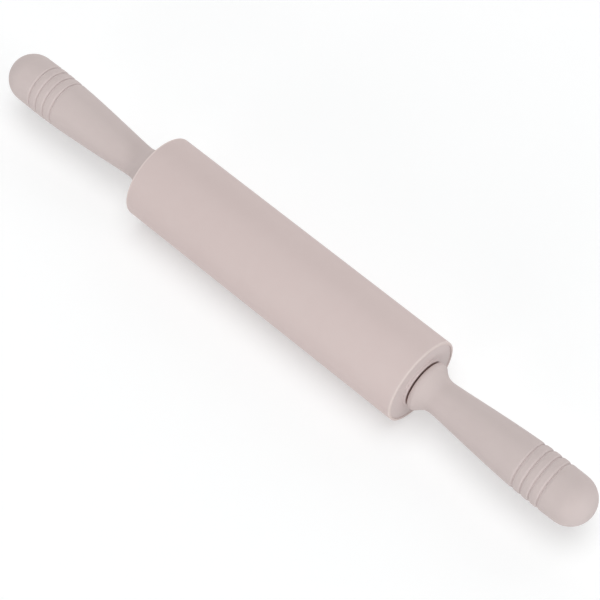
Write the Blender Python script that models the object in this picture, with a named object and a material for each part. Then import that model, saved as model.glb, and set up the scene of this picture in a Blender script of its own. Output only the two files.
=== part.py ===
"""Silicone rolling pin: a soft sleeved roller that spins on a steel axle between two soft handles.

The axle lies on the X axis, +Z is up, and the origin is the middle of the roller, on the axle.
Every turned piece is drawn as a half outline of (x, radius) points and spun about the X axis.
Pieces of the right end are modelled once, and the left end uses the same meshes turned half round.
"""

import math

import bmesh
import bpy
from mathutils import Matrix, Vector
from mathutils.geometry import interpolate_bezier

MM = 0.001

# Fits
SEAT_GAP = 0.3 * MM
BEARING_CLEARANCE = 0.1 * MM
END_FLOAT = 0.2 * MM

# Roller sleeve and barrel
ROLLER_LENGTH = 191.0 * MM
ROLLER_RADIUS = 25.0 * MM
SLEEVE_WALL = 1.4 * MM
SLEEVE_EDGE_RADIUS = 0.4 * MM
SLEEVE_INNER_CHAMFER = 0.2 * MM
TUBE_WALL = 2.0 * MM
TUBE_CHAMFER = 0.4 * MM

# End plug
PLUG_RECESS = 0.4 * MM
PLUG_WEB = 2.4 * MM
PLUG_CHAMFER = 0.4 * MM
BOSS_STEP = 0.1 * MM
BOSS_HEIGHT = 1.7 * MM
BOSS_CHAMFER = 0.4 * MM
POCKET_DEPTH = 2.6 * MM
POCKET_CLEARANCE = 0.9 * MM
SKIRT_LENGTH = 12.0 * MM
SKIRT_WALL = 1.8 * MM
SKIRT_CHAMFER = 0.6 * MM
HUB_WALL = 2.2 * MM
RIB_COUNT = 8
RIB_THICKNESS = 1.6 * MM
RIB_DEPTH = 9.0 * MM
RIB_ROOT = 0.6 * MM

# Axle, bearings and washers
AXLE_RADIUS = 4.0 * MM
AXLE_CHAMFER = 0.8 * MM
AXLE_PAST_INSERT = 1.5 * MM
BUSH_WALL = 1.9 * MM
BUSH_LENGTH = 14.0 * MM
BUSH_PROUD = 0.5 * MM
BUSH_FLANGE_WIDTH = 3.5 * MM
BUSH_FLANGE_THICKNESS = 1.2 * MM
WASHER_THICKNESS = 0.8 * MM
RING_GROOVE_DEPTH = 0.8 * MM
RING_THICKNESS = 1.0 * MM
RING_WIDTH = 3.6 * MM
RING_RELIEF = 1.2 * MM
RING_OPENING_DEG = 76.0
RING_STEPS = 24

# Handle outline, from its collar to its dome; a reach is how far a curve runs on level
COLLAR_GAP = 0.85 * MM
HANDLE_LENGTH = 111.05 * MM
COLLAR_RADIUS = 14.5 * MM
COLLAR_WIDTH = 2.7 * MM
COLLAR_EDGE_RADIUS = 1.5 * MM
COLLAR_REACH = 1.5 * MM
FLARE_LENGTH = 9.3 * MM
FLARE_REACH = 6.0 * MM
NECK_RADIUS = 9.9 * MM
NECK_REACH = 7.0 * MM
GRIP_REACH = 27.0 * MM
GRIP_RADIUS = 14.35 * MM
BAND_LENGTH = 13.0 * MM
DOME_RADIUS = 14.15 * MM
GROOVE_COUNT = 4
GROOVE_PITCH = 5.5 * MM
GROOVE_TO_DOME = 10.35 * MM
GROOVE_WIDTH = 1.4 * MM
GROOVE_DEPTH = 0.7 * MM

# Handle skin, core, cap and insert
GRIP_WALL = 2.0 * MM
CORE_WALL = 1.8 * MM
WEB_THICKNESS = 1.6 * MM
WEB_ROOT = 0.6 * MM
WEB_CLEARANCE = 1.5 * MM
SPIGOT_LENGTH = 5.0 * MM
SPIGOT_WALL = 1.6 * MM
INSERT_FROM_NECK = 12.0 * MM
INSERT_LENGTH = 16.0 * MM
INSERT_WALL = 2.0 * MM
INSERT_WAIST_DEPTH = 0.7 * MM
INSERT_WAIST_SHARE = 0.3

# Facets round each kind of piece
ROLLER_FACETS = 32
HANDLE_FACETS = 32
CORE_FACETS = 24
SMALL_FACETS = 24

# Steps along each curve of an outline
EDGE_STEPS = 2
FLARE_STEPS = 6
TAPER_STEPS = 5
DOME_STEPS = 6
LINING_STEPS = 4

# Radii that follow from the sizes and fits above
sleeve_bore = ROLLER_RADIUS - SLEEVE_WALL
tube_radius = sleeve_bore - SEAT_GAP
tube_bore = tube_radius - TUBE_WALL
skirt_radius = tube_bore - SEAT_GAP
skirt_bore = skirt_radius - SKIRT_WALL
bush_bore = AXLE_RADIUS + BEARING_CLEARANCE
bush_radius = bush_bore + BUSH_WALL
bush_flange_radius = bush_radius + BUSH_FLANGE_WIDTH
pocket_radius = bush_flange_radius + POCKET_CLEARANCE
boss_radius = COLLAR_RADIUS - BOSS_STEP
hub_bore = bush_radius + SEAT_GAP
hub_radius = hub_bore + HUB_WALL
ring_groove_radius = AXLE_RADIUS - RING_GROOVE_DEPTH
axle_hole = AXLE_RADIUS + SEAT_GAP
insert_radius = axle_hole + INSERT_WALL
insert_pocket_radius = insert_radius + SEAT_GAP
core_inset = GRIP_WALL + SEAT_GAP

# Places along the axle at the right end, from the middle of the roller
sleeve_end = ROLLER_LENGTH / 2
plug_face = sleeve_end - PLUG_RECESS
plug_back = plug_face - PLUG_WEB
boss_face = plug_face + BOSS_HEIGHT
pocket_floor = boss_face - POCKET_DEPTH
tube_end = plug_back - SEAT_GAP
skirt_end = plug_back - SKIRT_LENGTH
bush_seat = pocket_floor + SEAT_GAP
bush_face = bush_seat + BUSH_FLANGE_THICKNESS
bush_end = bush_seat - BUSH_LENGTH
hub_end = bush_end + BUSH_PROUD
ring_face = bush_end - END_FLOAT
ring_back = ring_face - RING_THICKNESS
washer_inner = bush_face + END_FLOAT
washer_outer = washer_inner + WASHER_THICKNESS
nose_face = washer_outer + SEAT_GAP
collar_face = boss_face + COLLAR_GAP
flare_start = collar_face + COLLAR_WIDTH
neck_plane = flare_start + FLARE_LENGTH
dome_plane = collar_face + HANDLE_LENGTH - DOME_RADIUS
grip_plane = dome_plane - BAND_LENGTH
insert_floor = neck_plane + INSERT_FROM_NECK
insert_start = insert_floor + SEAT_GAP
insert_end = insert_start + INSERT_LENGTH
axle_end = insert_end + AXLE_PAST_INSERT
web_start = axle_end + WEB_CLEARANCE
spigot_end = dome_plane - SPIGOT_LENGTH
web_end = spigot_end - WEB_CLEARANCE


def clear_scene():
    for old in list(bpy.data.objects):
        bpy.data.objects.remove(old)


def linear(level):
    """A screen colour level of 0 to 255 as the linear value that a shader takes."""
    share = level / 255.0
    if share <= 0.04045:
        return share / 12.92
    return ((share + 0.055) / 1.055) ** 2.4


def make_material(name, red, green, blue, roughness, metallic=0.0):
    made = bpy.data.materials.new(name)
    made.use_nodes = True
    shader = made.node_tree.nodes["Principled BSDF"]
    shader.inputs["Base Color"].default_value = (linear(red), linear(green), linear(blue), 1.0)
    shader.inputs["Roughness"].default_value = roughness
    shader.inputs["Metallic"].default_value = metallic
    return made


def finish_mesh(shape, name):
    """Closes a bmesh into a mesh with outward faces, smooth where it is round."""
    bmesh.ops.remove_doubles(shape, verts=shape.verts, dist=0.001 * MM)
    bmesh.ops.recalc_face_normals(shape, faces=shape.faces)
    mesh = bpy.data.meshes.new(name)
    shape.to_mesh(mesh)
    shape.free()
    mesh.shade_smooth()
    mesh.set_sharp_from_angle(angle=math.radians(35))
    return mesh


def turned(name, outline, facets, closed):
    """Spins an outline of (x, radius) points about the X axis, with a flat facet straight down."""
    shape = bmesh.new()
    first_angle = math.pi / facets
    side = math.sin(first_angle)
    up = math.cos(first_angle)
    points = [shape.verts.new((x, radius * side, radius * up)) for x, radius in outline]
    edges = [shape.edges.new(pair) for pair in zip(points, points[1:])]
    if closed:
        edges.append(shape.edges.new((points[-1], points[0])))
    bmesh.ops.spin(
        shape,
        geom=points + edges,
        cent=(0, 0, 0),
        axis=(1, 0, 0),
        angle=2 * math.pi,
        steps=facets,
        use_merge=True,
    )
    return finish_mesh(shape, name)


def arc(centre_x, centre_radius, radius, start_deg, end_deg, steps):
    """Points on an arc; 0 degrees points along +X and 90 degrees points away from the axle."""
    points = []
    for step in range(steps + 1):
        angle = math.radians(start_deg + (end_deg - start_deg) * step / steps)
        points.append((centre_x + radius * math.cos(angle), centre_radius + radius * math.sin(angle)))
    return points


def smooth_run(start, start_reach, end, end_reach, steps):
    """A curve that leaves start and reaches end level with the axle, with the two given handles."""
    knots = (
        Vector((start[0], start[1], 0)),
        Vector((start[0] + start_reach, start[1], 0)),
        Vector((end[0] - end_reach, end[1], 0)),
        Vector((end[0], end[1], 0)),
    )
    return [(point.x, point.y) for point in interpolate_bezier(*knots, steps + 1)]


def place(name, mesh, material, parent, left=False):
    """One named piece; a left piece is the right one turned half round about the upright axis."""
    made = bpy.data.objects.new(name, mesh)
    bpy.context.scene.collection.objects.link(made)
    if not mesh.materials:
        mesh.materials.append(material)
    made.parent = parent
    if left:
        made.rotation_euler = (0, 0, math.pi)
    return made


def place_pair(name, mesh, material, parent):
    place(name + "_right", mesh, material, parent)
    place(name + "_left", mesh, material, parent, left=True)


def make_empty(name):
    made = bpy.data.objects.new(name, None)
    bpy.context.scene.collection.objects.link(made)
    return made


def joined(name, body_mesh, added_mesh):
    """The two meshes as one body, by a Boolean union."""
    body = bpy.data.objects.new(name, body_mesh)
    added = bpy.data.objects.new(name + "_added", added_mesh)
    for item in (body, added):
        bpy.context.scene.collection.objects.link(item)
    union = body.modifiers.new("union", "BOOLEAN")
    union.operation = "UNION"
    union.solver = "EXACT"
    union.object = added
    bpy.context.view_layer.update()
    ready = body.evaluated_get(bpy.context.evaluated_depsgraph_get())
    mesh = bpy.data.meshes.new_from_object(ready)
    mesh.name = name
    mesh.set_sharp_from_angle(angle=math.radians(35))
    for item in (body, added):
        bpy.data.objects.remove(item)
    return mesh


def hexahedron(shape, corners):
    """A six-sided block from its four corners at one end and its four at the other."""
    verts = [shape.verts.new(corner) for corner in corners]
    near, far = verts[:4], verts[4:]
    shape.faces.new(near)
    shape.faces.new(reversed(far))
    for index in range(4):
        after = (index + 1) % 4
        shape.faces.new((near[index], near[after], far[after], far[index]))


# Roller


def sleeve_mesh():
    """Soft tube with rounded outer edges and a small chamfer at each mouth."""
    chamfer = SLEEVE_INNER_CHAMFER
    edge = min(SLEEVE_EDGE_RADIUS, SLEEVE_WALL - 2 * chamfer)
    shoulder = ROLLER_RADIUS - edge
    outline = arc(-sleeve_end + edge, shoulder, edge, 180, 90, EDGE_STEPS)
    outline += arc(sleeve_end - edge, shoulder, edge, 90, 0, EDGE_STEPS)
    outline += [(sleeve_end, sleeve_bore + chamfer), (sleeve_end - chamfer, sleeve_bore)]
    outline += [(-sleeve_end + chamfer, sleeve_bore), (-sleeve_end, sleeve_bore + chamfer)]
    return turned("silicone_sleeve", outline, ROLLER_FACETS, True)


def tube_mesh():
    """Rigid barrel under the sleeve, chamfered inside where the plugs go in."""
    outline = [
        (-tube_end, tube_radius),
        (tube_end, tube_radius),
        (tube_end, tube_bore + TUBE_CHAMFER),
        (tube_end - TUBE_CHAMFER, tube_bore),
        (-tube_end + TUBE_CHAMFER, tube_bore),
        (-tube_end, tube_bore + TUBE_CHAMFER),
    ]
    return turned("core_tube", outline, ROLLER_FACETS, True)


def plug_ribs():
    """Radial ribs between the hub and the skirt, rooted in both and in the web."""
    shape = bmesh.new()
    half = RIB_THICKNESS / 2
    low = hub_radius - RIB_ROOT
    high = skirt_bore + RIB_ROOT
    front = plug_back + RIB_ROOT
    back = plug_back - RIB_DEPTH
    for index in range(RIB_COUNT):
        turn = Matrix.Rotation(2 * math.pi * index / RIB_COUNT, 3, "X")
        corners = []
        for x in (back, front):
            for y, z in ((-half, low), (half, low), (half, high), (-half, high)):
                corners.append(turn @ Vector((x, y, z)))
        hexahedron(shape, corners)
    return finish_mesh(shape, "plug_ribs")


def plug_mesh():
    """Moulded end plug: disc with a raised boss and its bearing pocket, a skirt, a hub and ribs."""
    flange = tube_radius
    outline = [
        (hub_end, hub_bore),
        (pocket_floor, hub_bore),
        (pocket_floor, pocket_radius),
        (boss_face, pocket_radius),
        (boss_face, boss_radius - BOSS_CHAMFER),
        (boss_face - BOSS_CHAMFER, boss_radius),
        (plug_face, boss_radius),
        (plug_face, flange - PLUG_CHAMFER),
        (plug_face - PLUG_CHAMFER, flange),
        (plug_back, flange),
        (plug_back, skirt_radius),
        (skirt_end + SKIRT_CHAMFER, skirt_radius),
        (skirt_end, skirt_radius - SKIRT_CHAMFER),
        (skirt_end, skirt_bore),
        (plug_back, skirt_bore),
        (plug_back, hub_radius),
        (hub_end, hub_radius),
    ]
    return joined("end_plug", turned("plug_body", outline, ROLLER_FACETS, True), plug_ribs())


def bush_mesh():
    """Flanged plain bearing, pressed into the plug's hub."""
    outline = [
        (bush_end, bush_bore),
        (bush_face, bush_bore),
        (bush_face, bush_flange_radius),
        (bush_seat, bush_flange_radius),
        (bush_seat, bush_radius),
        (bush_end, bush_radius),
    ]
    return turned("bush", outline, SMALL_FACETS, True)


# Axle and what locates it


def axle_half_outline():
    """The axle's right half, from its middle to its chamfered end, with the ring groove."""
    groove_inner = ring_back - SEAT_GAP
    groove_outer = ring_face + SEAT_GAP
    return [
        (groove_inner, AXLE_RADIUS),
        (groove_inner, ring_groove_radius),
        (groove_outer, ring_groove_radius),
        (groove_outer, AXLE_RADIUS),
        (axle_end - AXLE_CHAMFER, AXLE_RADIUS),
        (axle_end, AXLE_RADIUS - AXLE_CHAMFER),
        (axle_end, 0.0),
    ]


def axle_mesh():
    right = axle_half_outline()
    left = [(-x, radius) for x, radius in reversed(right)]
    return turned("axle_rod", left + right, SMALL_FACETS, False)


def washer_mesh():
    outline = [
        (washer_inner, axle_hole),
        (washer_outer, axle_hole),
        (washer_outer, bush_flange_radius),
        (washer_inner, bush_flange_radius),
    ]
    return turned("thrust_washer", outline, SMALL_FACETS, True)


def ring_mesh():
    """Snap ring: three inner lobes grip the axle's groove; its open mouth points up."""
    lobe = ring_groove_radius + SEAT_GAP
    rim = lobe + RING_WIDTH
    start = math.radians(RING_OPENING_DEG / 2)
    sweep = 2 * math.pi - 2 * start
    steps = RING_STEPS
    outside = []
    inside = []
    for step in range(steps + 1):
        angle = start + sweep * step / steps
        inner = lobe + RING_RELIEF * (0.5 + 0.5 * math.cos(3 * angle))
        outside.append((rim * math.sin(angle), rim * math.cos(angle)))
        inside.append((inner * math.sin(angle), inner * math.cos(angle)))
    shape = bmesh.new()
    near = [shape.verts.new((ring_back, y, z)) for y, z in outside + inside]
    far = [shape.verts.new((ring_face, y, z)) for y, z in outside + inside]
    gap = steps + 1
    for index in range(steps):
        after = index + 1
        shape.faces.new((near[index], near[after], near[gap + after], near[gap + index]))
        shape.faces.new((far[index], far[gap + index], far[gap + after], far[after]))
        shape.faces.new((near[index], far[index], far[after], near[after]))
        shape.faces.new((near[gap + index], near[gap + after], far[gap + after], far[gap + index]))
    for end in (0, steps):
        shape.faces.new((near[end], near[gap + end], far[gap + end], far[end]))
    return finish_mesh(shape, "retaining_ring")


# Handle


def handle_outline(inset, flare_steps, taper_steps):
    """The handle's side from its collar to where its dome starts, drawn in by inset."""
    collar = (flare_start, COLLAR_RADIUS - inset)
    neck = (neck_plane, NECK_RADIUS - inset)
    grip = (grip_plane, GRIP_RADIUS - inset)
    flare = smooth_run(collar, COLLAR_REACH, neck, FLARE_REACH, flare_steps)
    taper = smooth_run(neck, NECK_REACH, grip, GRIP_REACH, taper_steps)
    return flare + taper[1:] + [(dome_plane, DOME_RADIUS - inset)]


def radius_at(outline, x):
    """The outline's radius at a place along the axle."""
    for (x0, r0), (x1, r1) in zip(outline, outline[1:]):
        if x0 <= x <= x1:
            return r0 + (r1 - r0) * (x - x0) / (x1 - x0)
    return outline[-1][1]


def grooved(outline):
    """The outline with the ring grooves cut into it, counted back from the dome."""
    last = dome_plane - GROOVE_TO_DOME
    places = [last - GROOVE_PITCH * index for index in range(GROOVE_COUNT)]
    half = GROOVE_WIDTH / 2
    kept = [point for point in outline if all(abs(point[0] - x) > GROOVE_WIDTH for x in places)]
    cut = []
    for x in places:
        cut.append((x - half, radius_at(outline, x - half)))
        cut.append((x, radius_at(outline, x) - GROOVE_DEPTH))
        cut.append((x + half, radius_at(outline, x + half)))
    return sorted(kept + cut)


def dome(radius, steps):
    """A quarter round from the dome plane to the axis."""
    return arc(dome_plane, 0.0, radius, 90, 0, steps)


def grip_mesh():
    """Soft skin: rounded collar, flare, long taper, ring grooves and a round dome."""
    edge = min(COLLAR_EDGE_RADIUS, COLLAR_WIDTH)
    outside = arc(collar_face + edge, COLLAR_RADIUS - edge, edge, 180, 90, EDGE_STEPS)
    outside += grooved(handle_outline(0.0, FLARE_STEPS, TAPER_STEPS))
    outside += dome(DOME_RADIUS, DOME_STEPS)[1:]
    lining = [(collar_face, COLLAR_RADIUS - GRIP_WALL)]
    lining += handle_outline(GRIP_WALL, LINING_STEPS, LINING_STEPS)
    lining += dome(DOME_RADIUS - GRIP_WALL, LINING_STEPS)[1:]
    return turned("handle_grip", list(reversed(lining)) + outside, HANDLE_FACETS, False)


def cavity_ends():
    """The moulded hollow of the core: a straight draft from the insert to the open tip."""
    side = handle_outline(core_inset, LINING_STEPS, LINING_STEPS)
    return (
        (insert_end, radius_at(side, insert_end) - CORE_WALL),
        (dome_plane, radius_at(side, dome_plane) - CORE_WALL),
    )


def core_webs():
    """Two crossed webs that stiffen the core, rooted in its wall along the draft."""
    cavity = cavity_ends()
    shape = bmesh.new()
    half = WEB_THICKNESS / 2
    for quarter in (0, 1):
        turn = Matrix.Rotation(quarter * math.pi / 2, 3, "X")
        corners = []
        for x in (web_start, web_end):
            reach = radius_at(cavity, x) + WEB_ROOT
            for y, z in ((-half, -reach), (half, -reach), (half, reach), (-half, reach)):
                corners.append(turn @ Vector((x, y, z)))
        block = bmesh.new()
        hexahedron(block, corners)
        bmesh.ops.recalc_face_normals(block, faces=block.faces)
        mesh = bpy.data.meshes.new("web")
        block.to_mesh(mesh)
        block.free()
        shape.from_mesh(mesh)
        bpy.data.meshes.remove(mesh)
    mesh = bpy.data.meshes.new("core_webs")
    shape.to_mesh(mesh)
    shape.free()
    return mesh


def core_mesh():
    """Rigid core: nose, flange, neck with the axle hole, insert pocket, hollow and webs."""
    cavity = cavity_ends()
    outline = [
        (nose_face, axle_hole),
        (nose_face, bush_flange_radius),
        (collar_face, bush_flange_radius),
        (collar_face, COLLAR_RADIUS - core_inset),
    ]
    outline += handle_outline(core_inset, LINING_STEPS, LINING_STEPS)
    outline += list(reversed(cavity))
    outline += [
        (insert_end, insert_pocket_radius),
        (insert_floor, insert_pocket_radius),
        (insert_floor, axle_hole),
    ]
    return joined("handle_core", turned("core_body", outline, CORE_FACETS, True), core_webs())


def insert_mesh():
    """Threaded sleeve with a waist that the core's plastic holds."""
    waist_half = INSERT_LENGTH * INSERT_WAIST_SHARE / 2
    middle = (insert_start + insert_end) / 2
    waist = insert_radius - INSERT_WAIST_DEPTH
    outline = [
        (insert_start, axle_hole),
        (insert_end, axle_hole),
        (insert_end, insert_radius),
        (middle + waist_half, insert_radius),
        (middle + waist_half, waist),
        (middle - waist_half, waist),
        (middle - waist_half, insert_radius),
        (insert_start, insert_radius),
    ]
    return turned("threaded_insert", outline, SMALL_FACETS, True)


def cap_mesh():
    """Domed cap that closes the core, with a spigot inside the hollow."""
    cavity = cavity_ends()
    outer = DOME_RADIUS - core_inset
    spigot = radius_at(cavity, spigot_end) - SEAT_GAP
    seat = dome_plane + SEAT_GAP
    seat_deg = math.degrees(math.acos(SEAT_GAP / outer))
    outside = arc(dome_plane, 0.0, outer, seat_deg, 0, LINING_STEPS)
    hollow = dome(spigot - SPIGOT_WALL, LINING_STEPS)
    outline = list(reversed(hollow))
    outline += [(spigot_end, spigot - SPIGOT_WALL), (spigot_end, spigot), (seat, spigot)]
    return turned("core_cap", outline + outside, CORE_FACETS, False)


def build():
    clear_scene()
    silicone = make_material("silicone", 209, 192, 189, 0.55)
    handle_silicone = make_material("handle_silicone", 202, 188, 184, 0.55)
    moulded = make_material("moulded_plastic", 202, 187, 184, 0.5)
    barrel = make_material("barrel_plastic", 222, 220, 214, 0.45)
    nylon = make_material("bearing_nylon", 228, 226, 218, 0.4)
    steel = make_material("steel", 176, 178, 180, 0.3, 1.0)
    brass = make_material("brass", 190, 160, 96, 0.35, 1.0)

    roller = make_empty("roller_body")
    place("silicone_sleeve", sleeve_mesh(), silicone, roller)
    place("core_tube", tube_mesh(), barrel, roller)
    place_pair("end_plug", plug_mesh(), moulded, roller)
    place_pair("bush", bush_mesh(), nylon, roller)

    handles = make_empty("handles_body")
    place("axle_rod", axle_mesh(), steel, handles)
    place_pair("retaining_ring", ring_mesh(), steel, handles)
    place_pair("thrust_washer", washer_mesh(), nylon, handles)
    place_pair("handle_core", core_mesh(), barrel, handles)
    place_pair("threaded_insert", insert_mesh(), brass, handles)
    place_pair("core_cap", cap_mesh(), barrel, handles)
    place_pair("handle_grip", grip_mesh(), handle_silicone, handles)


build()
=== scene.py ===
# %% [markdown]
# # A silicone rolling pin, piece by piece
#
# The real tool comes apart into nineteen pieces: a soft sleeve on a stiff barrel, two moulded end plugs
# with their bearings, one steel axle, and two soft handles with stiff cores inside. Nearly every piece is
# round about the axle, so this lesson is mostly about turning: half of an outline is drawn once, and
# Geometry Nodes sweep it round. Lengths are written in millimetres and kept in metres.

# %% Load the solid model as the frame
import math

import bmesh
import bpy
from mathutils import Matrix, Vector
from mathutils.geometry import interpolate_bezier


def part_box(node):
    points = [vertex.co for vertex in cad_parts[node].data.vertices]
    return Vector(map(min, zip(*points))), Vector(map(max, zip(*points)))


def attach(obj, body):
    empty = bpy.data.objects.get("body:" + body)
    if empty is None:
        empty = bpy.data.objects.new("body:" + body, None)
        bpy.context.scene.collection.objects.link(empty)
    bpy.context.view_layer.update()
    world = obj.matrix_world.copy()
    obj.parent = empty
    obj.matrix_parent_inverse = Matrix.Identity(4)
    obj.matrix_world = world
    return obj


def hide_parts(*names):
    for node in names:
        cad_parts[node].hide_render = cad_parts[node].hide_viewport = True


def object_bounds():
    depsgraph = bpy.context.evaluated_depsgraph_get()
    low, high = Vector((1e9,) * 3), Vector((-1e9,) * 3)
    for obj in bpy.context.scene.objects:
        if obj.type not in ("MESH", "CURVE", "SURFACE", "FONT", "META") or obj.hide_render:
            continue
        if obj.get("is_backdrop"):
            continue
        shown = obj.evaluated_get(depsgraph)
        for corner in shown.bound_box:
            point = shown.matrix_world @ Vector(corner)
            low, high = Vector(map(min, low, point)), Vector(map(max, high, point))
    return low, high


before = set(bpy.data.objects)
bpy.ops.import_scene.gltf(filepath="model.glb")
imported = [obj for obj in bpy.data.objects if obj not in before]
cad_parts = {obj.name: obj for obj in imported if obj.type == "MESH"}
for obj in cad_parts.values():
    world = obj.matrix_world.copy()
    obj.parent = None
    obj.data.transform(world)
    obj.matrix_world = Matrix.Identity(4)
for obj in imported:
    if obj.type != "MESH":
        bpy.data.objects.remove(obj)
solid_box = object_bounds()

MM = 0.001
scene = bpy.context.scene


def new_object(name, data):
    made = bpy.data.objects.new(name, data)
    scene.collection.objects.link(made)
    return made


# %% [markdown]
# ## Sizes
#
# A maker's drawing comes before the shapes. Each size is written once, and the places along the axle follow
# from the sizes before them, from the roller's middle out to a handle's tip. The same numbers made the
# solid model, so a finer piece drawn from them lands where its solid is.

# %% Sizes of the roller and of what turns in it
SEAT = 0.3 * MM
RUNNING = 0.1 * MM
ROLLER_HALF = 95.5 * MM
ROLLER_RADIUS = 25.0 * MM
SLEEVE_BORE = ROLLER_RADIUS - 1.4 * MM
BARREL_RADIUS = SLEEVE_BORE - SEAT
BARREL_BORE = BARREL_RADIUS - 2.0 * MM
PLUG_FACE = ROLLER_HALF - 0.4 * MM
PLUG_BACK = PLUG_FACE - 2.4 * MM
BOSS_FACE = PLUG_FACE + 1.7 * MM
POCKET_FLOOR = BOSS_FACE - 2.6 * MM
BARREL_HALF = PLUG_BACK - SEAT
SKIRT_END = PLUG_BACK - 12.0 * MM
SKIRT_RADIUS = BARREL_BORE - SEAT
SKIRT_BORE = SKIRT_RADIUS - 1.8 * MM
AXLE_RADIUS = 4.0 * MM
BUSH_BORE = AXLE_RADIUS + RUNNING
BUSH_RADIUS = BUSH_BORE + 1.9 * MM
FLANGE_RADIUS = BUSH_RADIUS + 3.5 * MM
POCKET_RADIUS = FLANGE_RADIUS + 0.9 * MM
HUB_BORE = BUSH_RADIUS + SEAT
HUB_RADIUS = HUB_BORE + 2.2 * MM
BUSH_SEAT = POCKET_FLOOR + SEAT
BUSH_FACE = BUSH_SEAT + 1.2 * MM
BUSH_END = BUSH_SEAT - 14.0 * MM
HUB_END = BUSH_END + 0.5 * MM
RING_FACE = BUSH_END - 0.2 * MM
RING_BACK = RING_FACE - 1.0 * MM
GROOVE_RADIUS = AXLE_RADIUS - 0.8 * MM
WASHER_INNER = BUSH_FACE + 0.2 * MM
WASHER_OUTER = WASHER_INNER + 0.8 * MM
NOSE_FACE = WASHER_OUTER + SEAT
print("roller ends at", round(ROLLER_HALF / MM, 2), "mm, core nose at", round(NOSE_FACE / MM, 2), "mm")

# %% Sizes of a handle
COLLAR_FACE = BOSS_FACE + 0.85 * MM
COLLAR_RADIUS = 14.5 * MM
BOSS_RADIUS = COLLAR_RADIUS - 0.1 * MM
FLARE_START = COLLAR_FACE + 2.7 * MM
NECK = FLARE_START + 9.3 * MM
NECK_RADIUS = 9.9 * MM
DOME_RADIUS = 14.15 * MM
DOME_START = COLLAR_FACE + 111.05 * MM - DOME_RADIUS
GRIP_RADIUS = 14.35 * MM
GRIP_END = DOME_START - 13.0 * MM
SKIN = 2.0 * MM
LAST_GROOVE = DOME_START - 10.35 * MM
GROOVE_PITCH = 5.5 * MM
GROOVES = 4
AXLE_HOLE = AXLE_RADIUS + SEAT
INSERT_RADIUS = AXLE_HOLE + 2.0 * MM
INSERT_FLOOR = NECK + 12.0 * MM
INSERT_START = INSERT_FLOOR + SEAT
INSERT_END = INSERT_START + 16.0 * MM
AXLE_END = INSERT_END + 1.5 * MM
SPIGOT_END = DOME_START - 5.0 * MM
print("handle runs from", round(COLLAR_FACE / MM, 2), "to", round((DOME_START + DOME_RADIUS) / MM, 2), "mm")

# %% [markdown]
# ## The camera
#
# A picture of a long object has three angles in it: how the axle lies across the picture, how far its near
# end leans towards the camera, and how high the camera stands. The axle and the upright are written as
# arrows seen from the camera, and the camera's own turn is the reverse of that. A long lens far away keeps
# the roller's sides nearly parallel, as in the picture.

# %% Place the camera
PICTURE = 600
FOCAL_PIXELS = 2246.9
DISTANCE = 1.1936
ACROSS = math.radians(38.13)
LEAN = math.radians(21.5)
ROUND = math.radians(25.0)
MIDDLE = (286.13, 276.13)

axle_seen = Vector((math.cos(ACROSS) * math.cos(LEAN), -math.sin(ACROSS) * math.cos(LEAN), math.sin(LEAN)))
near_seen = Vector((-math.cos(ACROSS) * math.sin(LEAN), math.sin(ACROSS) * math.sin(LEAN), math.cos(LEAN)))
low_seen = Vector((-math.sin(ACROSS), -math.cos(ACROSS), 0))
up_seen = near_seen * math.cos(ROUND) - low_seen * math.sin(ROUND)
back_seen = up_seen.cross(axle_seen)
turn = Matrix((axle_seen, back_seen, up_seen))
half_picture = PICTURE / 2
middle_across = (MIDDLE[0] - half_picture) / FOCAL_PIXELS
middle_up = (half_picture - MIDDLE[1]) / FOCAL_PIXELS
middle_seen = Vector((middle_across, middle_up, -1))

camera_data = bpy.data.cameras.new("camera")
camera_data.sensor_width = 36
camera_data.lens = FOCAL_PIXELS / PICTURE * camera_data.sensor_width
camera = new_object("camera", camera_data)
camera.matrix_world = Matrix.Translation(turn @ (-middle_seen * DISTANCE)) @ turn.to_4x4()
scene.camera = camera
height = math.degrees(math.asin(up_seen.z))
print("lens", round(camera_data.lens, 1), "mm, camera looks down by", round(height, 1), "degrees")

# %% [markdown]
# ## A small language for node trees
#
# Geometry trees and materials are both built from nodes, and long lists of links are hard to read. Two
# small classes make them read like sums. A Board adds any node from its type, what its sockets take and its
# settings. A Field is what comes out of a node, and Python's own plus, minus and times add the Math nodes.


# %% Fields and boards
class Field:
    """What one output socket of a node gives."""

    def __init__(self, board, node, output=0):
        self.board = board
        self.node = node
        self.socket = node.outputs[output]

    def out(self, output):
        return Field(self.board, self.node, output)

    def math(self, operation, *others):
        return self.board.math(operation, self, *others)

    def __add__(self, other):
        return self.math("ADD", other)

    def __sub__(self, other):
        return self.math("SUBTRACT", other)

    def __mul__(self, other):
        return self.math("MULTIPLY", other)

    def __truediv__(self, other):
        return self.math("DIVIDE", other)

    def __rsub__(self, other):
        return self.board.math("SUBTRACT", other, self)

    def __abs__(self):
        return self.math("ABSOLUTE")

    __radd__ = __add__
    __rmul__ = __mul__


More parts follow.
